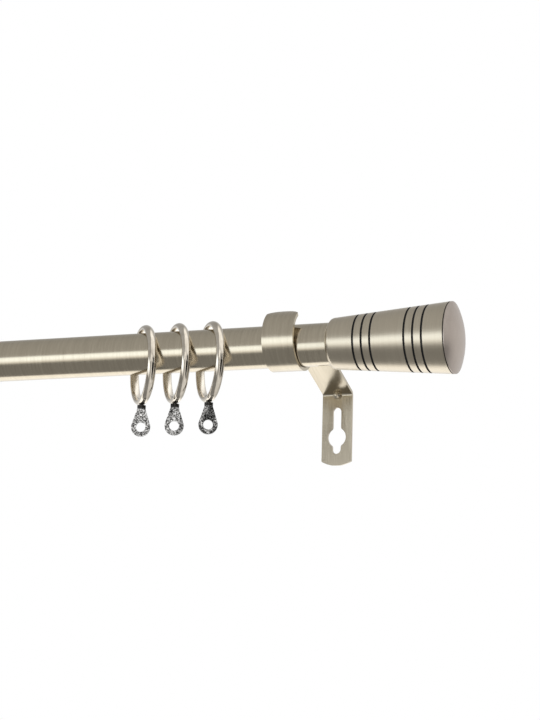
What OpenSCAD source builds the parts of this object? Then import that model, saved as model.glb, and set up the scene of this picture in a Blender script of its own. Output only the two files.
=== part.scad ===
// Curtain rod set: a tube carried by two strap brackets, with turned finials and rings with swivel eyes.
// Millimetres. The origin is on the wall, midway between the brackets, level with the rod's axis.
// +X runs along the rod, +Y goes into the wall and +Z is up.

/* [Rod] */
// Length of the tube
rod_len = 700; // [500:10:1600]
// Outside diameter of the tube
rod_d = 25; // [19:0.5:32]
// Wall of the tube
rod_wall = 1.2; // [0.8:0.1:2]

/* [Brackets] */
// From each end of the tube to the middle of the strap
bracket_inset = 27.6; // [20:1:60]
// Width of the strap
strap_w = 19.4; // [14:0.5:26]
// Thickness of the strap
strap_t = 2; // [1.5:0.1:3]
// From the rod's axis back to the front of the wall plate
projection = 84.8; // [60:1:120]
// How much wider than the rod the cradle is
cradle_play = 6.6; // [2:0.5:10]
// How far round its cradle the lip reaches up past the front, in degrees
lip_angle = 68; // [30:1:80]
// Top of the strap behind the rod, above the rod's axis
back_top = 15; // [10:0.5:24]
// Inside radius of the two sharp bends
bend_r = 1.5; // [1:0.25:4]
// Drop from the rod's axis to the start of the wall plate
plate_drop = 14.8; // [4:0.5:30]
// Length of the wall plate below its bend
plate_len = 43.6; // [40:0.5:70]
// How far the wall plate's rounded end bulges
end_bulge = 2.5; // [1:0.1:4]
// How far the strap's rounded lip bulges
lip_bulge = 4; // [2:0.1:5]
// Radius of the pressed stiffening dimple inside the plate's bend
dimple_r = 2.6; // [1.5:0.1:3]

/* [Keyhole] */
// From the plate's bend to the top of the hanging slot
slot_start = 7.4; // [6:0.1:12]
// From the top of the slot to the middle of the round hole
slot_drop = 18.6; // [14:0.1:24]
// From the middle of the round hole to the bottom of the lower slot
slot_tail = 10.3; // [8:0.1:14]
// Width of both slots
slot_w = 5.6; // [4.5:0.1:7]
// Diameter of the round hole
screw_hole_d = 12; // [10:0.1:14]
// Radius where the slots run into the round hole
throat_r = 2; // [1:0.1:3]

/* [Finials] */
// Length of the cone, without its cap
finial_len = 72.3; // [60:0.1:100]
// Diameter at the small end
finial_small_d = 29.7; // [28:0.1:38]
// Diameter at the large end
finial_large_d = 41.3; // [36:0.1:50]
// Radius round the small end
shoulder_r = 3; // [1:0.1:4]
// Wall of the hollow cone
finial_wall = 2; // [1.5:0.1:3]
// Thickness of the nose that the screw clamps
nose_t = 4; // [4:0.1:6]
// From the small end to the middle of the first groove
groove_first = 17.8; // [12:0.1:24]
// From the small end to the middle of the fourth groove
groove_fourth = 49.2; // [44:0.1:52]
// Distance between neighbouring grooves
groove_pitch = 5.3; // [4:0.1:6]
// Width of a groove
groove_w = 1; // [0.6:0.1:1.6]
// Depth of a groove
groove_depth = 0.9; // [0.4:0.1:1.2]
// Height of the domed cap
dome_h = 4.6; // [3:0.1:8]
// Thickness of the cap's straight rim
rim_t = 1; // [0.8:0.1:2]
// Width and depth of the dark seam under the cap's rim
seam_w = 0.5; // [0.2:0.1:0.6]
// Length of the spigot that holds the cap
spigot_len = 6; // [4:0.5:12]
// Wall of the spigot
spigot_wall = 1.5; // [1:0.1:2.5]

/* [Plugs] */
// Length of the plastic plug inside the tube
plug_len = 26; // [15:1:40]
// Number of ribs round the plug
plug_ribs = 8; // [4:1:12]
// Height of a rib
rib_h = 1.6; // [1:0.1:2.5]
// Width of a rib
rib_w = 2; // [1:0.1:3]
// Diameter of the screw's shank
screw_d = 4; // [3:0.5:5]
// Length of the screw's shank
screw_len = 20; // [12:1:24]

/* [Rings] */
// How much wider than the rod a ring is inside
ring_play = 17.6; // [12:0.5:26]
// Thickness of a ring, from inside to outside
ring_t = 3.1; // [2:0.05:4]
// Width of a ring's band
ring_w = 5.2; // [4:0.1:8]
// Radius of the crown round the outside of the band
ring_crown = 3.2; // [3:0.1:8]
// How far a hanging ring has turned, as a share of the turn that would jam it
ring_turn_share = 0.85; // [0.5:0.01:0.97]
// From the middle of the strap to the middle of the nearest ring
ring_first = 49.5; // [45:0.5:80]
// Distance between neighbouring rings
ring_pitch = 22; // [20:0.1:40]

/* [Eyes] */
// Width of an eye's round end
eye_w = 11.4; // [9:0.1:14]
// Thickness of the flat tab
eye_t = 1.8; // [1.2:0.1:2.5]
// Length of the flat tab, below its collar
eye_len = 16.9; // [14:0.1:24]
// Width of the tab where it meets the collar
eye_neck_w = 4.8; // [3:0.1:6]
// Diameter of the hole for a curtain hook
eye_hole_d = 5.8; // [4:0.1:7]
// Diameter of the collar under the ring
collar_d = 5.2; // [4:0.1:7]
// Height of the collar
collar_h = 2; // [0.8:0.1:3]
// Diameter of the swivel shank
shank_d = 2.6; // [2:0.1:3]
// Diameter of the peened head inside the ring
head_d = 4.4; // [4:0.1:5]
// Height of the peened head
head_h = 0.9; // [0.6:0.1:1.5]
// How far the eyes hang turned from the room, in degrees, from the nearest to the bracket inwards
eye_turns = [27, 24, 18]; // [-90:1:90]

/* [Clearances] */
// Between the rod and what it hangs in or passes through
hang_gap = 0.3; // [0.2:0.05:0.5]
// Round a shaft in its hole
running_gap = 0.1; // [0.02:0.01:0.1]
// Between the end of the tube and the finial
butt_gap = 0.1; // [0.05:0.05:0.3]

/* [Hidden] */
$fn = 96;

// Small overrun, so that cuts pass cleanly through a face
over = 1;

// How far a rounded strap end's arc would pass its square end, which leaves a short flat in its middle
end_flat = 0.1;

// Where the rod's axis is
rod_y = -(projection + strap_t);
rod_bore_d = rod_d - 2 * rod_wall;
bracket_x = rod_len / 2 - bracket_inset;

// The strap, seen along the rod: a cradle, a back leg, a sloping arm and a wall plate
cradle_r = (rod_d + cradle_play) / 2;
cradle_z = cradle_r - rod_d / 2 - hang_gap;
bend_out = bend_r + strap_t;
back_bend = [cradle_r + bend_out, back_top - bend_out];
plate_bend = [projection - bend_r, -plate_drop];
arm_fall = atan2(back_bend[1] - plate_bend[1], plate_bend[0] - back_bend[0]);
slot_top_z = -plate_drop - slot_start;
hole_z = slot_top_z - slot_drop;
slot_bottom_z = hole_z - slot_tail;

// The finial, from its small end
finial_slope = (finial_large_d - finial_small_d) / 2 / finial_len;
dome_r = (pow(finial_large_d / 2, 2) + pow(dome_h, 2)) / (2 * dome_h);
screw_head_d = 2 * screw_d;
screw_head_h = 0.6 * screw_d;

// A ring hangs turned about the vertical. The turn that jams it brings its inner edges to the rod.
ring_r = (rod_d + ring_play) / 2;
rod_reach = rod_d / 2 + hang_gap;
jam_turn = acos(rod_reach / norm([ring_r, ring_w / 2])) - atan2(ring_w / 2, ring_r);
ring_turn = ring_turn_share * jam_turn;

// How far one inner edge is from the rod's axis, sideways, at an angle round the ring from its side
function edge_y(a) = max(0, ring_r * cos(ring_turn) * cos(a) - ring_w / 2 * sin(ring_turn));

// The ring drops until the first point of that edge would come nearer to the axis than rod_reach
ring_drop = min([
    for (a = [0.5 : 0.5 : 90])
        if (edge_y(a) < rod_reach) ring_r * sin(a) - sqrt(pow(rod_reach, 2) - pow(edge_y(a), 2))
]);

// The eye hangs in a hole through the bottom of its ring
collar_z = -ring_r - ring_t - running_gap;
head_sag = ring_r - sqrt(pow(ring_r, 2) - pow(head_d / 2, 2));
head_z = -ring_r + head_sag + running_gap;
eye_centre_z = collar_z - collar_h - eye_len + eye_w / 2;

function ring_x(n) = bracket_x - ring_first - (n - 1) * ring_pitch;
function cone_r(x) = finial_small_d / 2 + finial_slope * x;

// ---- Rod ----

module rod_tube() {
    color("#a59c8f")
        translate([0, rod_y, 0])
            rotate([0, 90, 0])
                difference() {
                    cylinder(d = rod_d, h = rod_len, center = true);
                    cylinder(d = rod_bore_d, h = rod_len + 2 * over, center = true);
                }
}

// ---- Brackets ----

// Everything under a face of the strap that is r from the middles of its two bends
module under_bends(r, leg_foot, plate_foot) {
    arm_up = [sin(arm_fall), cos(arm_fall)];
    for (middle = [back_bend, plate_bend])
        translate(middle)
            circle(r);
    polygon([
        [back_bend[0] - r, leg_foot], back_bend - [r, 0],
        back_bend + r * arm_up, plate_bend + r * arm_up,
        plate_bend + [r, 0], [plate_bend[0] + r, plate_foot],
        [plate_bend[0] + bend_r, plate_foot], [back_bend[0] - bend_r, leg_foot]
    ]);
}

// Cradle under the rod, open from the lip's end round to the top of the back leg
module cradle_outline() {
    far = 3 * cradle_r;
    mouth_end = 180 - lip_angle;
    translate([0, cradle_z])
        difference() {
            circle(cradle_r + strap_t);
            circle(cradle_r);
            polygon([[0, 0], for (a = [0, mouth_end / 2, mouth_end]) far * [cos(a), sin(a)]]);
        }
}

module strap_outline() {
    foot = -plate_drop - plate_len;
    cradle_outline();
    difference() {
        under_bends(bend_out, cradle_z, foot);
        under_bends(bend_r, foot - over, foot - over);
    }
}

// Hole in the shape of a keyhole with a second, short slot below
module keyhole_outline() {
    throat_x = slot_w / 2 + throat_r;
    throat_z = sqrt(pow(screw_hole_d / 2 + throat_r, 2) - pow(throat_x, 2));
    circle(d = screw_hole_d);
    for (reach = [slot_drop, -slot_tail]) {
        way = sign(reach);
        slot_end = abs(reach) - slot_w / 2;
        translate([0, way * slot_end])
            circle(d = slot_w);
        translate([-slot_w / 2, way > 0 ? 0 : -slot_end])
            square([slot_w, slot_end]);
        difference() {
            polygon([[0, 0], [throat_x, way * throat_z], [-throat_x, way * throat_z]]);
            for (side = [-1, 1])
                translate([side * throat_x, way * throat_z])
                    circle(throat_r);
        }
    }
}

// What is cut from a square strap end, whose middle is at the origin, to round it
module end_trim(bulge, depth) {
    rise = bulge + end_flat;
    end_r = (pow(strap_w / 2, 2) + pow(rise, 2)) / (2 * rise);
    difference() {
        translate([-strap_w, -depth / 2, -over])
            cube([2 * strap_w, depth, bulge + over]);
        translate([0, 0, end_r - end_flat])
            rotate([90, 0, 0])
                cylinder(r = end_r, h = depth + 2 * over, center = true);
    }
}

// One bracket, with the rod's axis at the origin
module bracket() {
    corner = (90 - arm_fall) / 2;
    bump_at = plate_bend + (bend_out - dimple_r - 0.2) * [cos(corner), sin(corner)];
    dent_at = plate_bend + bend_out * [cos(corner), sin(corner)];
    color("#9c9487")
        difference() {
            union() {
                rotate([90, 0, 90])
                    linear_extrude(strap_w, center = true)
                        strap_outline();
                translate([0, bump_at[0], bump_at[1]])
                    sphere(dimple_r);
            }
            translate([0, dent_at[0], dent_at[1]])
                sphere(dimple_r / 2);
            translate([0, projection + strap_t / 2, hole_z])
                rotate([90, 0, 0])
                    linear_extrude(strap_t + 2 * over, center = true)
                        keyhole_outline();
            translate([0, projection + strap_t / 2, -plate_drop - plate_len])
                end_trim(end_bulge, strap_t + 2 * over);
            translate([0, 0, cradle_z])
                rotate([180 - lip_angle, 0, 0])
                    translate([0, cradle_r + strap_t / 2, 0])
                        end_trim(lip_bulge, strap_t + 2 * over);
        }
}

module bracket_left() {
    translate([-bracket_x, rod_y, 0])
        bracket();
}

module bracket_right() {
    translate([bracket_x, rod_y, 0])
        bracket();
}

// ---- Finials ----
// Each piece is drawn with the finial's small end at the origin and its axis along +Z.

// Puts a finial piece on its end of the rod: side is 1 on the right and -1 on the left
module on_rod_end(side) {
    translate([side * (rod_len / 2 + butt_gap), rod_y, 0])
        rotate([0, side * 90, 0])
            children();
}

module finial_body() {
    shoulder_x = cone_r(shoulder_r) - shoulder_r * sqrt(1 + pow(finial_slope, 2));
    lean = atan(finial_slope);
    color("#9c9487")
        difference() {
            rotate_extrude()
                difference() {
                    union() {
                        translate([shoulder_x, shoulder_r])
                            circle(shoulder_r);
                        polygon([
                            [0, 0], [shoulder_x, 0],
                            [shoulder_x, shoulder_r] + shoulder_r * [cos(lean), -sin(lean)],
                            [cone_r(finial_len), finial_len], [0, finial_len]
                        ]);
                    }
                    for (first = [groove_first, groove_fourth], n = [0 : 2]) {
                        groove_z = first + n * groove_pitch;
                        translate([cone_r(groove_z) - groove_depth, groove_z - groove_w / 2])
                            square([2 * groove_depth, groove_w]);
                    }
                    polygon([
                        [0, nose_t], [cone_r(nose_t) - finial_wall, nose_t],
                        [cone_r(finial_len) - finial_wall, finial_len],
                        [0, finial_len]
                    ]);
                }
            translate([0, 0, -over])
                cylinder(d = screw_d + 2 * running_gap, h = nose_t + 2 * over);
        }
}

module finial_cap() {
    rim_r = finial_large_d / 2;
    spigot_r = cone_r(finial_len - spigot_len) - finial_wall - running_gap;
    color("#a89d92")
        translate([0, 0, finial_len])
            difference() {
                union() {
                    cylinder(r = rim_r - seam_w, h = rim_t);
                    translate([0, 0, seam_w])
                        cylinder(r = rim_r, h = rim_t - seam_w);
                    rotate_extrude()
                        intersection() {
                            translate([0, rim_t + dome_h - dome_r])
                                circle(dome_r);
                            translate([0, rim_t])
                                square([rim_r, dome_h]);
                        }
                    translate([0, 0, -spigot_len])
                        cylinder(r = spigot_r, h = spigot_len);
                }
                translate([0, 0, -spigot_len - over])
                    cylinder(r = spigot_r - spigot_wall, h = spigot_len + over);
            }
}

module finial_plug() {
    rib_reach = rod_bore_d / 2 - running_gap;
    core_r = rib_reach - rib_h;
    color("#3c3a38")
        translate([0, 0, -plug_len])
            difference() {
                union() {
                    cylinder(r = core_r, h = plug_len);
                    intersection() {
                        cylinder(r = rib_reach, h = plug_len);
                        for (n = [1 : plug_ribs])
                            rotate([0, 0, n * 360 / plug_ribs])
                                translate([0, -rib_w / 2, 0])
                                    cube([rib_reach + over, rib_w, plug_len]);
                    }
                }
                translate([0, 0, -over])
                    cylinder(d = screw_d + 2 * running_gap, h = plug_len + 2 * over);
            }
}

module finial_screw() {
    color("#c9c7c2")
        difference() {
            union() {
                translate([0, 0, nose_t - screw_len])
                    cylinder(d = screw_d, h = screw_len);
                translate([0, 0, nose_t])
                    cylinder(d = screw_head_d, h = screw_head_h);
            }
            translate([0, 0, nose_t + screw_head_h / 3])
                cylinder(d = screw_d, h = screw_head_h, $fn = 6);
        }
}

module finial_body_left() { on_rod_end(-1) finial_body(); }
module finial_cap_left() { on_rod_end(-1) finial_cap(); }
module finial_plug_left() { on_rod_end(-1) finial_plug(); }
module finial_screw_left() { on_rod_end(-1) finial_screw(); }
module finial_body_right() { on_rod_end(1) finial_body(); }
module finial_cap_right() { on_rod_end(1) finial_cap(); }
module finial_plug_right() { on_rod_end(1) finial_plug(); }
module finial_screw_right() { on_rod_end(1) finial_screw(); }

// ---- Rings and eyes ----
// Both are drawn with the ring's centre at the origin.

// Puts ring number n, counted inwards from its bracket, where it hangs; turn is about the vertical
module on_rod(side, n, turn) {
    translate([side * ring_x(n), rod_y, -ring_drop])
        rotate([0, 0, side * turn])
            children();
}

// A band, flat inside and crowned outside, with a hole through its lowest point for the eye
module ring(side, n) {
    outer_r = ring_r + ring_t;
    color("#c8c2b8")
        on_rod(side, n, ring_turn)
            difference() {
                rotate([0, 90, 0])
                    rotate_extrude()
                        intersection() {
                            translate([outer_r - ring_crown, 0])
                                circle(ring_crown);
                            translate([ring_r, -ring_w / 2])
                                square([ring_t, ring_w]);
                        }
                translate([0, 0, -outer_r - over])
                    cylinder(d = shank_d + 2 * running_gap, h = ring_t + 2 * over);
            }
}

// Flat tab that widens from the collar down to a round end
module eye_outline() {
    tab_top = collar_z - collar_h;
    shoulder = [eye_neck_w / 2, tab_top - eye_centre_z];
    touch = atan2(shoulder[1], shoulder[0]) - acos(eye_w / 2 / norm(shoulder));
    edge = eye_w / 2 * [cos(touch), sin(touch)];
    translate([0, eye_centre_z])
        difference() {
            union() {
                circle(d = eye_w);
                polygon([[0, 0], edge, shoulder, [-shoulder[0], shoulder[1]], [-edge[0], edge[1]]]);
            }
            circle(d = eye_hole_d);
        }
}

module eye(side, n) {
    color("#b9b7b4")
        on_rod(side, n, eye_turns[n - 1]) {
            rotate([90, 0, 0])
                linear_extrude(eye_t, center = true)
                    eye_outline();
            translate([0, 0, collar_z - collar_h])
                cylinder(d = collar_d, h = collar_h);
            translate([0, 0, collar_z - collar_h / 2])
                cylinder(d = shank_d, h = head_z - collar_z + collar_h / 2 + head_h / 2);
            translate([0, 0, head_z])
                cylinder(d = head_d, h = head_h);
        }
}

module ring_left_1() { ring(-1, 1); }
module ring_left_2() { ring(-1, 2); }
module ring_left_3() { ring(-1, 3); }
module ring_right_1() { ring(1, 1); }
module ring_right_2() { ring(1, 2); }
module ring_right_3() { ring(1, 3); }
module eye_left_1() { eye(-1, 1); }
module eye_left_2() { eye(-1, 2); }
module eye_left_3() { eye(-1, 3); }
module eye_right_1() { eye(1, 1); }
module eye_right_2() { eye(1, 2); }
module eye_right_3() { eye(1, 3); }

rod_tube();
bracket_left();
bracket_right();
finial_body_left();
finial_cap_left();
finial_plug_left();
finial_screw_left();
finial_body_right();
finial_cap_right();
finial_plug_right();
finial_screw_right();
ring_left_1();
ring_left_2();
ring_left_3();
ring_right_1();
ring_right_2();
ring_right_3();
eye_left_1();
eye_left_2();
eye_left_3();
eye_right_1();
eye_right_2();
eye_right_3();
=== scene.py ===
# %% [markdown]
# A curtain rod hangs in two strap brackets, and six rings with swivel eyes ride on it.
# The part's solids are loaded first and stay where they are. Each later piece is built around
# them, in metres, so that it fits without being moved by hand.

import math

import bpy
from mathutils import Matrix, Vector


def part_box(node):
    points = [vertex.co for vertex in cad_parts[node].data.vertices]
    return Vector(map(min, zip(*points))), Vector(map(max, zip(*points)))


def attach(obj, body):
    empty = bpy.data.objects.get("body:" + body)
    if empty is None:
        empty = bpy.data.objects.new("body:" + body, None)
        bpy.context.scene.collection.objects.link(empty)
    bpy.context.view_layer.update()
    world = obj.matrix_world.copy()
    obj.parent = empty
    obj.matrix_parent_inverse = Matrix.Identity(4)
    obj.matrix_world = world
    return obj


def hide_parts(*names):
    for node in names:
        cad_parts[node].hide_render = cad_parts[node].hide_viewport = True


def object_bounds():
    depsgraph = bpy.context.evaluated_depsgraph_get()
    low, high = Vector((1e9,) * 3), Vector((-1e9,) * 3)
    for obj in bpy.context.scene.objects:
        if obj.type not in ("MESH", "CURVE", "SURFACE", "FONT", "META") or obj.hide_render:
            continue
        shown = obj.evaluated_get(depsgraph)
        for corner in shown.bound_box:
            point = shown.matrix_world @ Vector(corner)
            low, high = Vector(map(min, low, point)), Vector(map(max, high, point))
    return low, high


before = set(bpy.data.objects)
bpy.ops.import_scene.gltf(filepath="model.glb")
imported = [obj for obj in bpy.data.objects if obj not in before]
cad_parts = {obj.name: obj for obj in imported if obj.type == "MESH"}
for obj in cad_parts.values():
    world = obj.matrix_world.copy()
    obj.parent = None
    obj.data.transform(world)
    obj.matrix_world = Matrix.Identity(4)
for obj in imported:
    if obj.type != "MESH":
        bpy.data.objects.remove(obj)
cad_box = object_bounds()
MM = 0.001
print("CAD box", [round(v / MM, 1) for v in (*cad_box[0], *cad_box[1])], "mm")

# %% [markdown]
# Places come from the solids' own boxes, so that they follow the part. The rod's box gives its
# axis, its radius and its half length, and a bracket's box gives the middle of its strap.

# %% Places taken from the solids
rod_low, rod_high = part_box("rod_tube")
rod_radius = (rod_high.z - rod_low.z) / 2
rod_axis = (rod_low + rod_high) / 2
rod_half = rod_high.x
strap_low, strap_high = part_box("bracket_right")
strap_x = (strap_low.x + strap_high.x) / 2
print("rod radius", round(rod_radius / MM, 2), "mm, strap at", round(strap_x / MM, 1), "mm")

# %% [markdown]
# The camera looks at the right-hand bracket from below and from the right, with a long lens, which
# keeps the rod's two edges nearly parallel. It could be placed by hand, but then each change would
# undo the last. Here it is placed by the direction that it looks from, its distance, and where the
# rod's axis under the strap lies in the view. For that last one it is slid sideways in its own
# plane, which keeps the view straight.

# %% The camera
SENSOR = 36.0
LENS = 97.098
AZIMUTH, ELEVATION, ROLL = (math.radians(v) for v in (22.407, -11.0, 1.627))
DISTANCE = 1.13494
# How far the strap lies right of and above the middle, as shares of the view's longer side.
STRAP_RIGHT, STRAP_UP = 0.02504, 0.01902

back = Vector((
    math.sin(AZIMUTH) * math.cos(ELEVATION),
    -math.cos(AZIMUTH) * math.cos(ELEVATION),
    math.sin(ELEVATION),
))
level = Vector((math.cos(AZIMUTH), math.sin(AZIMUTH), 0))
upward = back.cross(level)
cam_right = math.cos(ROLL) * level + math.sin(ROLL) * upward
cam_up = -math.sin(ROLL) * level + math.cos(ROLL) * upward
span = SENSOR * DISTANCE / LENS
target = Vector((strap_x, rod_axis.y, 0))
place = target + back * DISTANCE - STRAP_RIGHT * span * cam_right - STRAP_UP * span * cam_up

camera_data = bpy.data.cameras.new("camera")
camera = bpy.data.objects.new("camera", camera_data)
bpy.context.collection.objects.link(camera)
bpy.context.scene.camera = camera
camera_data.sensor_width = SENSOR
camera_data.lens = LENS
camera_data.dof.use_dof = False
turn = Matrix((cam_right, cam_up, back)).transposed()
camera.matrix_world = Matrix.Translation(place) @ turn.to_4x4()
print("camera at", [round(v, 3) for v in place])

# %% [markdown]
# Metal shows its surroundings more than its own colour. They could be built from lit planes and
# black cards, but a plane ends, and so would its band on the rod. Here they are the world, painted
# by direction, so that a band runs along the whole rod whichever way it is seen.
#
# The first measure is the angle round the rod's axis, in degrees: 0 is level in front of the rod,
# 90 is the ceiling, -90 is the floor and 180 is the wall. The light leans a little along the rod,
# as from a lamp that isn't hung quite level.

# %% A helper that adds a node, and the angle round the rod
def add(tree, kind, settings=None, **inputs):
    """Adds a node to a tree. Settings are its properties; inputs are values, or sockets to link."""
    node = tree.nodes.new("ShaderNode" + kind)
    for name, value in (settings or {}).items():
        setattr(node, name, value)
    for name, value in inputs.items():
        key = int(name[1:]) if name[0] == "i" and name[1:].isdigit() else name.replace("_", " ")
        socket = node.inputs[key]
        if isinstance(value, bpy.types.NodeSocket):
            tree.links.new(value, socket)
        else:
            socket.default_value = value
    return node


world = bpy.data.worlds.new("studio")
bpy.context.scene.world = world
world.use_nodes = True
tree = world.node_tree
tree.nodes.clear()

LEAN = 35  # degrees that the bands shift from the middle of the studio to its side
direction = add(tree, "TexCoord")
axes = add(tree, "SeparateXYZ", Vector=direction.outputs["Generated"])
front = add(tree, "Math", {"operation": "MULTIPLY"}, i0=axes.outputs["Y"], i1=-1.0)
around = add(tree, "Math", {"operation": "ARCTAN2"}, i0=axes.outputs["Z"], i1=front.outputs[0])
degrees = add(tree, "Math", {"operation": "DEGREES"}, i0=around.outputs[0])
centred = add(tree, "Math", {"operation": "ADD"}, i0=axes.outputs["X"], i1=math.sin(AZIMUTH))
leaned = add(tree, "Math", {"operation": "MULTIPLY_ADD"},
             i0=centred.outputs[0], i1=LEAN, i2=degrees.outputs[0])
print("light leans", LEAN, "degrees from the middle to the side")

# %% [markdown]
# The left half of the studio is what the rod, the straps and the cones show to somebody on the
# right. It has a broad soft light about level with the rod, a dark card under it, a pale sweep of
# floor behind that card, and a plain grey ceiling. The right half, which the rings and the caps show, is
# more open: its soft light is higher and its ceiling is pale. A colour ramp can't hold more than
# 1, so each level is written as a share of the strongest one.

# %% Bands of light
STRONGEST = 2.4
SOFTBOX = (2.05, 2.2, 2.35)
CARD_STOPS = [
    (-180, 0.9), (-168, 1.2), (-150, 1.7), (-120, 1.9), (-111, 0.33), (-34, 0.32),
    (-22, 1.5), (-14, SOFTBOX), (2, SOFTBOX), (9, 0.6), (24, 0.57), (70, 0.53),
    (112, 0.46), (140, 0.5), (156, 0.8), (172, 0.9), (180, 0.9),
]
OPEN_STOPS = [
    (-180, 0.9), (-172, 0.85), (-158, 0.5), (-138, 0.8), (-112, 1.0), (-60, 0.85),
    (-36, 0.6), (0, 0.66), (6, 1.6), (20, 1.4), (28, 0.9), (50, 1.3),
    (105, 1.5), (126, 0.7), (145, 0.6), (160, 0.85), (180, 0.9),
]
OPENING_STOPS = [(-0.16, 0.0), (0.0, 1.0)]


def paint_ramp(node, stops):
    """Sets a colour ramp's stops, each a place from 0 to 1 and a colour."""
    elements = node.color_ramp.elements
    while len(elements) > 1:
        elements.remove(elements[-1])
    for index, (place_on_ramp, colour) in enumerate(stops):
        element = elements[0] if index == 0 else elements.new(place_on_ramp)
        element.position = place_on_ramp
        element.color = colour


def light_along(measure, low, high, stops, strongest=1.0):
    """Light painted along a measure from low to high, in stops of (place, level)."""
    share = add(tree, "MapRange", Value=measure, From_Min=low, From_Max=high)
    ramp = add(tree, "ValToRGB", Fac=share.outputs[0])
    marks = []
    for at, light in stops:
        parts = light if isinstance(light, tuple) else (light, light, light)
        marks.append(((at - low) / (high - low), (*[part / strongest for part in parts], 1)))
    paint_ramp(ramp, marks)
    return ramp.outputs[0]


bands = light_along(leaned.outputs[0], -180, 180, CARD_STOPS, STRONGEST)
open_bands = light_along(degrees.outputs[0], -180, 180, OPEN_STOPS, STRONGEST)
opening = light_along(axes.outputs["X"], -1, 1, OPENING_STOPS)
whole = add(tree, "Mix", {"data_type": "RGBA"}, i0=opening, i6=bands, i7=open_bands)
print("surroundings painted with", len(CARD_STOPS), "and", len(OPEN_STOPS), "bands")

# %% [markdown]
# A round wire shows nearly the whole studio at once, so it needs upright shapes as well, or it
# looks like grey plastic. Dark cards stand on edge in front and to the right, with narrow strips of
# light between them, and they draw the dark streaks that run down the rings and across the eyes.
# Each is kept to its own height and to the front or the back by a mask, so that it doesn't cross
# the rod. The masks and the cards are painted along a direction from -1 to 1.
#
# To the eye the background stays plain white, because a camera ray skips the painted studio.

# %% Upright cards and strips of light
FRONT_STOPS = [(0.1, 0.0), (0.3, 1.0)]
BEHIND_STOPS = [(-0.35, 1.0), (0.25, 0.0)]
LEVEL_STOPS = [(-0.02, 0.0), (0.06, 1.0), (0.22, 1.0), (0.32, 0.0)]
LOW_STOPS = [(-0.02, 1.0), (0.06, 0.0)]
SPLIT_CARD = [(-0.10, 1.0), (-0.07, 0.15), (-0.01, 0.15), (0.03, 1.0)]
LEVEL_CARD = [(0.37, 1.0), (0.49, 0.03), (0.62, 0.03), (0.66, 1.0), (0.74, 1.0), (0.78, 0.02)]
LEVEL_LIGHT = [(0.62, 0.0), (0.66, 0.75), (0.74, 0.75), (0.78, 0.0)]
LOW_CARD = [(0.60, 1.0), (0.63, 0.02), (0.97, 0.02)]
LOW_LIGHT = [(0.47, 0.0), (0.50, 0.7), (0.57, 0.7), (0.60, 0.0)]
REAR_CARD = [(0.76, 1.0), (0.80, 0.02), (0.97, 0.02)]


def hang(how, where, behind_it, stops):
    """Hangs dark cards (MULTIPLY) or lit strips (LIGHTEN) from left to right inside a mask."""
    across = light_along(axes.outputs["X"], -1, 1, stops)
    hung = add(tree, "Mix", {"data_type": "RGBA", "blend_type": how},
               i0=where, i6=behind_it, i7=across)
    return hung.outputs[2]


in_front = light_along(front.outputs[0], -1, 1, FRONT_STOPS)
behind = light_along(front.outputs[0], -1, 1, BEHIND_STOPS)
low_down = light_along(axes.outputs["Z"], -1, 1, LOW_STOPS)
level_with = light_along(axes.outputs["Z"], -1, 1, LEVEL_STOPS)
front_level = add(tree, "Math", {"operation": "MULTIPLY"}, i0=in_front, i1=level_with).outputs[0]
front_low = add(tree, "Math", {"operation": "MULTIPLY"}, i0=in_front, i1=low_down).outputs[0]
rear_low = add(tree, "Math", {"operation": "MULTIPLY"}, i0=behind, i1=low_down).outputs[0]

shown = hang("MULTIPLY", in_front, whole.outputs[2], SPLIT_CARD)
shown = hang("MULTIPLY", front_level, shown, LEVEL_CARD)
shown = hang("LIGHTEN", front_level, shown, LEVEL_LIGHT)
shown = hang("MULTIPLY", front_low, shown, LOW_CARD)
shown = hang("LIGHTEN", front_low, shown, LOW_LIGHT)
shown = hang("MULTIPLY", rear_low, shown, REAR_CARD)
path = add(tree, "LightPath")
studio = add(tree, "Background", Color=shown, Strength=STRONGEST)
white = add(tree, "Background", Color=(1, 1, 1, 1), Strength=1.0)
seen = add(tree, "MixShader",
           i0=path.outputs["Is Camera Ray"], i1=studio.outputs[0], i2=white.outputs[0])
add(tree, "OutputWorld", Surface=seen.outputs[0])
bpy.context.scene.view_settings.view_transform = "Standard"
print("upright cards and strips hung")

# %% [markdown]
# The painted studio lights the metal by itself. Two broad lamps are added for what isn't metal: one
# in front and above gives the floor its soft shadow, and one from the right lifts the black pieces.
# The metal doesn't see them, because a lamp's small bright shape would draw a hard line on it.

# %% The lamps
KEY_PLACE, KEY_SIZE, KEY_WATTS = (-0.9, -1.3, 1.6), 0.9, 9
SIDE_PLACE, SIDE_SIZE, SIDE_WATTS = (1.9, -0.5, 0.5), 0.7, 5


def lamp(name, spot, aim, size, watts):
    """A square area light at spot that points at aim, and that metal doesn't see."""
    data = bpy.data.lights.new(name, "AREA")
    data.shape = "SQUARE"
    data.size = size
    data.energy = watts
    made = bpy.data.objects.new(name, data)
    bpy.context.collection.objects.link(made)
    made.location = spot
    made.visible_glossy = False
    made.rotation_euler = (Vector(spot) - Vector(aim)).to_track_quat("Z", "Y").to_euler()
    return made


lamp("key_lamp", KEY_PLACE, target, KEY_SIZE, KEY_WATTS)
lamp("side_lamp", SIDE_PLACE, (rod_half, rod_axis.y, 0), SIDE_SIZE, SIDE_WATTS)
print("lamps placed, of", KEY_WATTS, "and", SIDE_WATTS, "watts")

# %% [markdown]
# The floor is plain pale paper, far below the rod, so that the camera can stand lower than the rod.
# It keeps the object's shadow. Metal doesn't see it, because it would hide the dark cards that are
# painted below. Paper would come out grey near the horizon, so to the camera it glows a little.
# From underneath it is clear, so that the rod can be looked at from any height.

# %% The floor
FLOOR_DROP = 0.45
FLOOR_SIZE = 120
FLOOR_GLOW = 0.35


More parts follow.
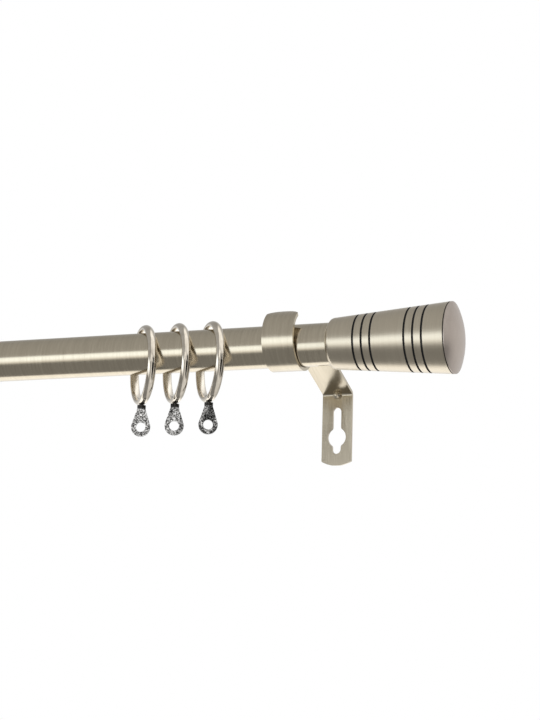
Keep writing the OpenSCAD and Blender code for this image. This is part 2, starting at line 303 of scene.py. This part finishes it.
def linear(hex_colour):
    """An sRGB hex value such as #A59C8F as the linear colour that a socket wants."""
    parts = [int(hex_colour[i:i + 2], 16) / 255 for i in (1, 3, 5)]
    toe, toe_slope, bend, power = 0.04045, 12.92, 0.055, 2.4
    return (*[p / toe_slope if p <= toe else ((p + bend) / (1 + bend)) ** power for p in parts], 1)


bpy.ops.object.select_all(action="DESELECT")
bpy.ops.mesh.primitive_plane_add(size=FLOOR_SIZE, location=(0, 0, cad_box[0].z - FLOOR_DROP))
floor = bpy.context.object
floor.name = "floor"
floor.visible_glossy = False
paper = bpy.data.materials.new("matt_white_paper")
paper.use_nodes = True
tree = paper.node_tree
tree.nodes.clear()
path = add(tree, "LightPath")
sheet = add(tree, "BsdfDiffuse", Color=linear("#F4F3F1"))
glow = add(tree, "Emission", Color=linear("#FFFFFF"), Strength=FLOOR_GLOW)
lifted = add(tree, "AddShader", i0=sheet.outputs[0], i1=glow.outputs[0])
shown = add(tree, "MixShader",
            i0=path.outputs["Is Camera Ray"], i1=sheet.outputs[0], i2=lifted.outputs[0])
facing = add(tree, "NewGeometry")
clear = add(tree, "BsdfTransparent")
one_way = add(tree, "MixShader",
              i0=facing.outputs["Backfacing"], i1=shown.outputs[0], i2=clear.outputs[0])
add(tree, "OutputMaterial", Surface=one_way.outputs[0])
floor.data.materials.append(paper)
print("floor", FLOOR_DROP, "m below the lowest point")

# %% [markdown]
# Satin nickel on steel. The tube and the cone are brushed while they turn, so fine lines run round
# them, and the strip is brushed along its length. The cap is spun and left matt, with a fine even
# grain in place of lines.
# The lines could be real scratches in the mesh, but they are far too fine. They are noise that is
# stretched along the brushing: it changes the roughness most, the colour a little, and the height
# by a few thousandths of a millimetre. Real lines are about 0.05 mm apart, which is too fine to
# show, so they are drawn 0.3 mm apart, and the cap's grain 0.6 mm, with broader streaks under them.

# %% Brushed nickel
NOISE_LOW, NOISE_HIGH = 0.3, 0.7  # a noise's values lie between these, nearly all of them
STREAK_SHARE = 0.35
LINE_HEIGHT = 0.02 * MM


def metal(name, hex_colour, roughness):
    """A new metal: its material, its node tree and its shader."""
    made = bpy.data.materials.new(name)
    made.use_nodes = True
    tree = made.node_tree
    tree.nodes.clear()
    shader = add(tree, "BsdfPrincipled", Metallic=1.0, Roughness=roughness)
    shader.inputs["Base Color"].default_value = linear(hex_colour)
    add(tree, "OutputMaterial", Surface=shader.outputs[0])
    return made, tree, shader


def brushed_nickel(name, light_hex, dark_hex, line_mm, streak_mm, roughness, spread):
    """Nickel with fine lines over broad streaks; line_mm and streak_mm are their (x, y, z) sizes."""
    made, tree, shader = metal(name, light_hex, roughness)
    place_on = add(tree, "TexCoord")
    line_scale = tuple(1 / (v * MM) for v in line_mm)
    line_place = add(tree, "Mapping", Vector=place_on.outputs["Object"], Scale=line_scale)
    lines = add(tree, "TexNoise", Vector=line_place.outputs[0], Scale=1.0, Detail=3.0, Roughness=0.6)
    streak_scale = tuple(1 / (v * MM) for v in streak_mm)
    streak_place = add(tree, "Mapping", Vector=place_on.outputs["Object"], Scale=streak_scale)
    streaks = add(tree, "TexNoise", Vector=streak_place.outputs[0], Scale=1.0, Detail=2.0)
    both = add(tree, "Mix", {"data_type": "FLOAT"},
               i0=STREAK_SHARE, i2=lines.outputs[0], i3=streaks.outputs[0])
    tint = add(tree, "ValToRGB", Fac=both.outputs[0])
    paint_ramp(tint, [(0.34, linear(dark_hex)), (0.62, linear(light_hex))])
    tree.links.new(tint.outputs[0], shader.inputs["Base Color"])
    rough = add(tree, "MapRange", Value=both.outputs[0], From_Min=NOISE_LOW, From_Max=NOISE_HIGH,
                To_Min=roughness - spread, To_Max=roughness + spread)
    tree.links.new(rough.outputs[0], shader.inputs["Roughness"])
    grain = add(tree, "Bump", Strength=0.12, Distance=LINE_HEIGHT, Height=lines.outputs[0])
    tree.links.new(grain.outputs[0], shader.inputs["Normal"])
    return made


# The tube is the glossiest: the soft light is a clear band on it, with fine lines round it.
satin_rod = brushed_nickel(
    "satin_nickel_brushed_tube", "#C3B9A5", "#B4AA97",
    line_mm=(0.3, 12, 12), streak_mm=(1.4, 40, 40), roughness=0.17, spread=0.04)
# The cone is duller and warmer, and its band of light has soft edges.
satin_finial = brushed_nickel(
    "satin_nickel_turned", "#C6BCA9", "#BCB29F",
    line_mm=(0.3, 12, 12), streak_mm=(1.6, 40, 40), roughness=0.30, spread=0.03)
# The strip is nearly as glossy as the tube, and its lines run along it.
satin_strap = brushed_nickel(
    "satin_nickel_brushed_strip", "#C3B9A5", "#B4AA97",
    line_mm=(0.3, 12, 12), streak_mm=(1.8, 30, 30), roughness=0.2, spread=0.04)
# The cap is a touch pinker and the dullest of the four, with a grain and no lines.
satin_cap = brushed_nickel(
    "satin_nickel_spun", "#C0B5AB", "#B6AAA0",
    line_mm=(3, 0.6, 0.6), streak_mm=(8, 5, 5), roughness=0.36, spread=0.03)
print("satin nickel mixed four ways")

# %% [markdown]
# The rings are bright nickel, polished after they were formed, so they mirror the studio with only
# a faint haze. Inside them the polishing wheel doesn't reach, and the nickel stays as it came from
# the bath and duller; its colour there is also painted paler than nickel, as a painted reflection
# of the bright studio. The eyes are small castings, tumbled and plated, which leaves a mottled skin
# whose facets catch the light one by one, on a face that isn't quite flat; their colour is painted
# in dark and light lumps, as painted reflection of what the facets mirror. At the neck, under the
# ring, the middle of the collar is painted nearly black as shade.

# %% Polished and cast nickel
HAZE_MM = 4
HAZE_LEAST, HAZE_MOST = 0.6, 1.5  # shares of a finish's own roughness
FACET_MM, LUMP_MM, SWELL_MM = 0.6, 0.8, 5
LUMP_SHARE = 0.6
SWELL_HEIGHT, DENT_HEIGHT = 0.45 * MM, 0.05 * MM


def polished_nickel(name, light_hex, dark_hex, roughness, wave_height):
    """Nickel with a faint haze and a slight wave, which bends what it mirrors."""
    made, tree, shader = metal(name, light_hex, roughness)
    place_on = add(tree, "TexCoord")
    haze = add(tree, "TexNoise", Vector=place_on.outputs["Object"],
               Scale=1 / (HAZE_MM * MM), Detail=4.0)
    rough = add(tree, "MapRange", Value=haze.outputs[0], From_Min=NOISE_LOW, From_Max=NOISE_HIGH,
                To_Min=roughness * HAZE_LEAST, To_Max=roughness * HAZE_MOST)
    tree.links.new(rough.outputs[0], shader.inputs["Roughness"])
    tint = add(tree, "ValToRGB", Fac=haze.outputs[0])
    paint_ramp(tint, [(0.35, linear(dark_hex)), (0.65, linear(light_hex))])
    tree.links.new(tint.outputs[0], shader.inputs["Base Color"])
    wave = add(tree, "Bump", Strength=0.25, Distance=wave_height, Height=haze.outputs[0])
    tree.links.new(wave.outputs[0], shader.inputs["Normal"])
    return made


def cast_nickel(name, hex_colour, roughness):
    """Bright nickel on a tumbled casting: lumps painted dark and light as reflection, small facets and a
    slow swell.
    """
    made, tree, shader = metal(name, hex_colour, roughness)
    place_on = add(tree, "TexCoord")
    facets = add(tree, "TexVoronoi", Vector=place_on.outputs["Object"], Scale=1 / (FACET_MM * MM))
    lumps = add(tree, "TexNoise", Vector=place_on.outputs["Object"],
                Scale=1 / (LUMP_MM * MM), Detail=3.0)
    skin = add(tree, "Mix", {"data_type": "FLOAT"},
               i0=LUMP_SHARE, i2=facets.outputs[0], i3=lumps.outputs[0])
    # Lumps painted from nearly black to pale: painted reflection of the dark cards and the light strips.
    tint = add(tree, "ValToRGB", Fac=lumps.outputs[0])
    paint_ramp(tint, [(0.40, linear("#2B2A29")), (0.52, linear("#8E8D8B")), (0.66, linear("#E0DFDD"))])
    tree.links.new(tint.outputs[0], shader.inputs["Base Color"])
    swell = add(tree, "TexNoise", Vector=place_on.outputs["Object"],
                Scale=1 / (SWELL_MM * MM), Detail=0.0)
    rolling = add(tree, "Bump", Strength=1.0, Distance=SWELL_HEIGHT, Height=swell.outputs[0])
    dent = add(tree, "Bump", Strength=0.3, Distance=DENT_HEIGHT,
               Height=skin.outputs[0], Normal=rolling.outputs[0])
    tree.links.new(dent.outputs[0], shader.inputs["Normal"])
    return made


ring_nickel = polished_nickel("bright_nickel_polished", "#D4CCBE", "#C2B9AB", 0.08, 0.06 * MM)
# Painted paler than nickel: a painted reflection of the bright studio on the rings' inner faces.
ring_inside = polished_nickel("nickel_inside_painted_pale_as_reflection", "#EEE7DA", "#E2DACD", 0.25, 0.02 * MM)
# Nearly black nickel for the collar's middle: painted shade under the ring.
neck_painted_shade = polished_nickel("nickel_with_painted_shade_at_neck", "#3A3836", "#242220", 0.2, 0.04 * MM)
# The eyes' colour carries painted reflection in dark and light lumps.
eye_nickel = cast_nickel("cast_nickel_with_painted_reflection", "#BEBDBC", 0.16)
print("ring and eye nickel mixed")

# %% [markdown]
# Three lesser finishes: the black lacquer that is wiped into the finial's grooves, which makes them
# plain dark lines, and that also paints the thin seam under each cap black as shade; the moulded
# nylon of the plug, black with a soft sheen; and the zinc plate of the screw, cooler and greyer than
# the nickel round it.

# %% Lacquer, nylon and zinc
def plain_finish(name, light_hex, dark_hex, metallic, roughness, grain_mm):
    """A moulded or dipped finish with a fine grain grain_mm across."""
    made, tree, shader = metal(name, light_hex, roughness)
    shader.inputs["Metallic"].default_value = metallic
    place_on = add(tree, "TexCoord")
    grain = add(tree, "TexNoise", Vector=place_on.outputs["Object"],
                Scale=1 / (grain_mm * MM), Detail=3.0)
    tint = add(tree, "ValToRGB", Fac=grain.outputs[0])
    paint_ramp(tint, [(0.35, linear(dark_hex)), (0.65, linear(light_hex))])
    tree.links.new(tint.outputs[0], shader.inputs["Base Color"])
    skin = add(tree, "Bump", Strength=0.3, Distance=0.03 * MM, Height=grain.outputs[0])
    tree.links.new(skin.outputs[0], shader.inputs["Normal"])
    return made


# The same black paints the shade in the seam under each cap.
lacquer_and_seam_shade = plain_finish("black_lacquer_and_painted_seam_shade", "#1A1817", "#0C0B0A", 0.0, 0.5, 0.8)
plug_nylon = plain_finish("black_nylon_moulded", "#2B2A29", "#1E1D1C", 0.0, 0.45, 0.5)
screw_zinc = plain_finish("zinc_plated_steel", "#C9C8C4", "#AEADA8", 1.0, 0.3, 0.7)
print("lacquer, nylon and zinc mixed")

# %% [markdown]
# The rod is a welded tube with its cut ends filed. It could be a cylinder with its ends cut off and
# a Solidify modifier, but its ends are open and seen, so it is turned, as on a lathe: one vertex is
# pushed out along the section of the wall, and the section is spun round its axis. Spin leaves a
# seam and can turn the skin inside out, so the doubles are merged and the normals are recalculated.
# A small round at each of the section's four corners gives the ends a bright line and not a knife
# edge.

# %% The rod, turned from its section
ROD_WALL = 1.2 * MM
FILED = 0.25 * MM
TURNING_STEPS = 192
MERGE = 1e-6


def turned(name, section):
    """Spins a closed or axis-to-axis section of (radius, height) points round Z, in metres."""
    bpy.ops.object.select_all(action="DESELECT")
    bpy.ops.mesh.primitive_plane_add(size=MM)
    made = bpy.context.object
    made.name = made.data.name = name
    bpy.ops.object.mode_set(mode="EDIT")
    bpy.ops.mesh.merge(type="CENTER")
    start = section[0]
    bpy.ops.transform.translate(value=(start[0], 0, start[1]))
    for before, after in zip(section, section[1:]):
        step = (after[0] - before[0], 0, after[1] - before[1])
        bpy.ops.mesh.extrude_region_move(TRANSFORM_OT_translate={"value": step})
    bpy.ops.mesh.select_all(action="SELECT")
    bpy.ops.mesh.spin(steps=TURNING_STEPS, angle=math.tau, center=(0, 0, 0), axis=(0, 0, 1))
    bpy.ops.mesh.select_all(action="SELECT")
    bpy.ops.mesh.remove_doubles(threshold=MERGE)
    bpy.ops.mesh.normals_make_consistent(inside=False)
    bpy.ops.object.mode_set(mode="OBJECT")
    return made


def arc(middle, radius, start, end, count):
    """Points on an arc in a section, from one angle to another in degrees."""
    angles = [math.radians(start + (end - start) * i / count) for i in range(count + 1)]
    return [(middle[0] + radius * math.cos(a), middle[1] + radius * math.sin(a)) for a in angles]


def settle(piece, matrix, smooth_degrees):
    """Puts the place into the mesh, leaves the object at the origin and smooths its faces."""
    piece.data.transform(matrix)
    piece.matrix_world = Matrix.Identity(4)
    bpy.ops.object.select_all(action="DESELECT")
    piece.select_set(True)
    bpy.context.view_layer.objects.active = piece
    bpy.ops.object.shade_smooth_by_angle(angle=math.radians(smooth_degrees))


def finish_piece(piece, body, node, slot_name, *materials):
    """Gives a piece its finish and its body, and hides the solid that it stands for."""
    for each in materials:
        piece.data.materials.append(each)
    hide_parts(node)
    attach(piece, body)
    print(piece.name, len(piece.data.polygons), "faces on", body)


bore = rod_radius - ROD_WALL
corners = [
    (rod_radius - FILED, rod_half - FILED, 0),
    (bore + FILED, rod_half - FILED, 90),
    (bore + FILED, -rod_half + FILED, 180),
    (rod_radius - FILED, -rod_half + FILED, 270),
]
wall = [point for r, z, start in corners for point in arc((r, z), FILED, start, start + 90, 4)]
rod = turned("rod", wall + wall[:1])
lay_along_x = Matrix.Rotation(math.pi / 2, 4, "Y")
settle(rod, Matrix.Translation((0, rod_axis.y, rod_axis.z)) @ lay_along_x, smooth_degrees=40)
finish_piece(rod, "rod", "rod_tube", "rod", satin_rod)

# %% [markdown]
# The finial's body is a hollow cone with a rounded shoulder at the rod and two sets of three
# grooves. The grooves could be painted on, but they have to catch the light at their lips, so they
# are turned with the rest. A real groove has a small break at each lip, so its lips are rounded
# over. The lacquer is given to the faces that lie inside a groove. The cone is modelled once, and
# the second one is a copy with its own mesh.

# %% The section of the finial's body
FINIAL_LEN = 72.3 * MM
SMALL_R, LARGE_R = 29.7 * MM / 2, 41.3 * MM / 2
WALL, NOSE, SHOULDER = 2 * MM, 4 * MM, 3 * MM
FIRST_GROOVES, GROOVE_PITCH, GROOVES_IN_SET = (17.8 * MM, 49.2 * MM), 5.3 * MM, 3
GROOVE_W, GROOVE_DEPTH, LIP = 1.0 * MM, 0.9 * MM, 0.15 * MM
SCREW_HOLE = 2.1 * MM
slope = (LARGE_R - SMALL_R) / FINIAL_LEN
grooves = [first + n * GROOVE_PITCH for first in FIRST_GROOVES for n in range(GROOVES_IN_SET)]


def cone_radius(height):
    """The cone's outer radius at a height over the end that meets the rod."""
    return SMALL_R + slope * height


lean = math.degrees(math.atan(slope))
shoulder_x = cone_radius(SHOULDER) - SHOULDER * math.hypot(1, slope)
cone = [(SCREW_HOLE, 0)] + arc((shoulder_x, SHOULDER), SHOULDER, -90, -lean, 12)
for groove in grooves:
    near, far = groove - GROOVE_W / 2, groove + GROOVE_W / 2
    deep = cone_radius(groove) - GROOVE_DEPTH
    cone += [(cone_radius(near - LIP), near - LIP), (cone_radius(near) - LIP / 3, near - LIP / 3)]
    cone += [(cone_radius(near) - LIP, near), (deep, near), (deep, far), (cone_radius(far) - LIP, far)]
    cone += [(cone_radius(far) - LIP / 3, far + LIP / 3), (cone_radius(far + LIP), far + LIP)]
cone += [(cone_radius(FINIAL_LEN), FINIAL_LEN), (cone_radius(FINIAL_LEN) - WALL, FINIAL_LEN)]
cone += [(cone_radius(NOSE) - WALL, NOSE), (SCREW_HOLE, NOSE), (SCREW_HOLE, 0)]
print("cone's section has", len(cone), "points and leans", round(lean, 2), "degrees")

# %% The two finial bodies
GROOVE_REACH = LIP * 0.8  # how far past a groove's wall its rounded lip is still lacquered
GROOVE_FLOOR = WALL * 0.7  # deeper than this under the cone is the inner wall, which stays bare


def copy_of(pattern, name):
    """A copy of a pattern with its own mesh."""
    made = bpy.data.objects.new(name, pattern.data.copy())
    made.data.name = name
    bpy.context.collection.objects.link(made)
    return made


def clear_away(pattern):
    """Removes a pattern and its mesh once its copies are made."""
    mesh = pattern.data
    bpy.data.objects.remove(pattern)
    bpy.data.meshes.remove(mesh)


def finial_place(side):
    """From the lathe's axis to the rod's end on one side."""
    low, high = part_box("finial_body_" + side)
    end_x = low.x if side == "right" else high.x
    angle = math.pi / 2 if side == "right" else -math.pi / 2
    return Matrix.Translation((end_x, rod_axis.y, rod_axis.z)) @ Matrix.Rotation(angle, 4, "Y")


pattern = turned("cone_pattern", cone)
for face in pattern.data.polygons:
    reach = math.hypot(face.center.x, face.center.y)
    in_groove = any(abs(face.center.z - g) < GROOVE_W / 2 + GROOVE_REACH for g in grooves)
    if in_groove and reach > cone_radius(face.center.z) - GROOVE_FLOOR:
        face.material_index = 1
for side in ("left", "right"):
    body = copy_of(pattern, "finial_cone_" + side)
    settle(body, finial_place(side), smooth_degrees=25)
    finish_piece(body, "finial_" + side, "finial_body_" + side, "finial", satin_finial, lacquer_and_seam_shade)
clear_away(pattern)

# %% [markdown]
# The cap is a shallow dome with a rim and a spigot that is pressed into the cone's open end. A
# sphere cut flat would give the dome alone, so it is turned as well. A step of half a millimetre
# under the rim makes the thin seam that shows all the way round, and its faces are painted black
# as painted shade.

# %% The finial's caps
DOME_H, RIM_T, SEAM, SPIGOT, SPIGOT_WALL = 4.6 * MM, 1.0 * MM, 0.5 * MM, 6.0 * MM, 1.5 * MM
SPIGOT_GAP = 0.1 * MM
EDGE = 0.35 * MM
dome_r = (LARGE_R ** 2 + DOME_H ** 2) / (2 * DOME_H)
spigot_r = cone_radius(FINIAL_LEN - SPIGOT) - WALL - SPIGOT_GAP
dome_edge = math.degrees(math.asin((LARGE_R - EDGE) / dome_r))
dome_middle = (0, RIM_T + DOME_H - dome_r)
dome = [(0, 0), (spigot_r - SPIGOT_WALL, 0), (spigot_r - SPIGOT_WALL, -SPIGOT), (spigot_r, -SPIGOT)]
dome += [(spigot_r, 0), (LARGE_R - SEAM, 0), (LARGE_R - SEAM, SEAM), (LARGE_R - EDGE / 2, SEAM)]
dome += [(LARGE_R, SEAM + EDGE / 2), (LARGE_R, RIM_T)]
dome += arc(dome_middle, dome_r, 90 - dome_edge, 90, 24)

pattern = turned("dome_pattern", dome)
# The seam's faces take the black lacquer as painted shade in the recess.
for face in pattern.data.polygons:
    reach = math.hypot(face.center.x, face.center.y)
    if 0 < face.center.z < SEAM + EDGE / 8 and reach > spigot_r:
        face.material_index = 1
for side in ("left", "right"):
    cap = copy_of(pattern, "finial_dome_" + side)
    settle(cap, finial_place(side) @ Matrix.Translation((0, 0, FINIAL_LEN)), smooth_degrees=35)
    finish_piece(cap, "finial_" + side, "finial_cap_" + side, "finial_cap", satin_cap, lacquer_and_seam_shade)
clear_away(pattern)

# %% [markdown]
# A ring is a band that is flat inside and crowned outside. A torus would be round inside too, and
# the flat is what shows as a pale face in each ring's far half, so the band is turned from its own
# section. It hangs with its top inside on the rod, turned about the vertical by most of the turn at
# which its edges would jam on the rod. One matrix lays its axis level and turns it.

# %% The rings
RING_R, RING_T, RING_W, CROWN = 21.3 * MM, 3.1 * MM, 5.2 * MM, 3.2 * MM
RING_EDGE = 0.3 * MM
RING_TURN = math.radians(39.457)  # 85 % of the turn that jams it


def ring_section():
    """Flat inside, crowned outside, with the two thin edges rounded."""
    half = math.degrees(math.asin((RING_W / 2 - RING_EDGE) / CROWN))
    middle = (RING_R + RING_T - CROWN, 0)
    points = arc(middle, CROWN, -half, half, 20)
    edge_r = points[-1][0]
    points += [(edge_r - RING_EDGE * 1.5, RING_W / 2), (RING_R + RING_EDGE, RING_W / 2)]
    points += [(RING_R, RING_W / 2 - RING_EDGE), (RING_R, -RING_W / 2 + RING_EDGE)]
    points += [(RING_R + RING_EDGE, -RING_W / 2), (edge_r - RING_EDGE * 1.5, -RING_W / 2)]
    return points + points[:1]


pattern = turned("band_pattern", ring_section())
# The inner faces take the nickel painted pale as reflection; with the flat, it makes the pale face.
for face in pattern.data.polygons:
    if math.hypot(face.center.x, face.center.y) < RING_R + RING_EDGE / 4:
        face.material_index = 1
for side, sign in (("left", -1), ("right", 1)):
    for number in (1, 2, 3):
        node = f"ring_{side}_{number}"
        low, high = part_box(node)
        ring = copy_of(pattern, f"band_{side}_{number}")
        facing = Matrix.Rotation(sign * RING_TURN, 4, "Z") @ lay_along_x
        settle(ring, Matrix.Translation((low + high) / 2) @ facing, smooth_degrees=50)
        finish_piece(ring, node, node, "ring", ring_nickel, ring_inside)
clear_away(pattern)

# %% [markdown]
# A strap is cut from strip and bent, and an eye is cast, so their edges are broken and not sharp.
# Their outlines are already right in the solids, with every bend and hole, so modelling them again
# would gain nothing. A copy of each solid is merged, its flat faces are joined, and a bevel rounds
# the edges, so that the light runs along them. The bevel hardens its normals, which keeps the flat
# of the strip flat to the eye.

# %% A solid with eased edges
FLAT_DEGREES, SMOOTH_DEGREES, SHARP_DEGREES = 0.5, 35, 50


def eased(name, node, edge_mm, segments):
    """A merged copy of a solid with its sharp edges rounded."""
    made = copy_of(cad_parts[node], name)
    made.data.materials.clear()
    bpy.ops.object.select_all(action="DESELECT")
    made.select_set(True)
    bpy.context.view_layer.objects.active = made
    bpy.ops.object.mode_set(mode="EDIT")
    bpy.ops.mesh.select_all(action="SELECT")
    bpy.ops.mesh.remove_doubles(threshold=MERGE)
    bpy.ops.mesh.customdata_custom_splitnormals_clear()
    bpy.ops.mesh.dissolve_limited(angle_limit=math.radians(FLAT_DEGREES))
    bpy.ops.object.mode_set(mode="OBJECT")
    settle(made, Matrix.Identity(4), SMOOTH_DEGREES)
    bevel = made.modifiers.new("edges", "BEVEL")
    bevel.width = edge_mm * MM
    bevel.segments = segments
    bevel.limit_method = "ANGLE"
    bevel.angle_limit = math.radians(SHARP_DEGREES)
    bevel.harden_normals = True
    bpy.ops.object.modifier_apply(modifier="edges")
    return made


print("edges are rounded where faces meet by more than", SHARP_DEGREES, "degrees")

# %% [markdown]
# An eye is one casting of four parts: a peened head inside the ring, a shank through the ring, a
# collar under it and the flat tab. The head's top is the top of the eye's box, so the collar's top
# is found by going down past the head and the ring's band. The middle of the collar is painted
# nearly black, as painted shade under the ring.

# %% The straps and the eyes
STRAP_EDGE_MM, EYE_EDGE_MM = 0.25, 0.7
HEAD_H, HEAD_D, RUNNING_GAP = 0.9 * MM, 4.4 * MM, 0.1 * MM
COLLAR_H = 2.0 * MM
# The band of painted shade on the collar:
SHADE_FROM, SHADE_TO = 0.35, 0.9  # shares of the collar's height, from its top
head_sag = RING_R - math.sqrt(RING_R ** 2 - (HEAD_D / 2) ** 2)
top_to_collar = HEAD_H + head_sag + RING_T + 2 * RUNNING_GAP

for side in ("left", "right"):
    strap = eased("strap_" + side, "bracket_" + side, STRAP_EDGE_MM, segments=3)
    finish_piece(strap, "brackets", "bracket_" + side, "strap", satin_strap)
    for number in (1, 2, 3):
        node = f"eye_{side}_{number}"
        tab = eased(f"tab_{side}_{number}", node, EYE_EDGE_MM, segments=5)
        collar_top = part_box(node)[1].z - top_to_collar
        # Faces in the collar's middle take the nickel painted nearly black as shade.
        for face in tab.data.polygons:
            depth = collar_top - face.center.z
            if COLLAR_H * SHADE_FROM < depth < COLLAR_H * SHADE_TO:
                face.material_index = 1
        finish_piece(tab, node, node, "eye", eye_nickel, neck_painted_shade)

# %% [markdown]
# The plug and the screw stay as the solids show them, because they are seen only when a finial is
# pulled out. They take their nylon and their zinc in place.

# %% The plug and the screw
for side in ("left", "right"):
    for node, finish in (("finial_plug_" + side, plug_nylon), ("finial_screw_" + side, screw_zinc)):
        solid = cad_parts[node]
        solid.data.materials.clear()
        solid.data.materials.append(finish)
        print(node, "is", finish.name)
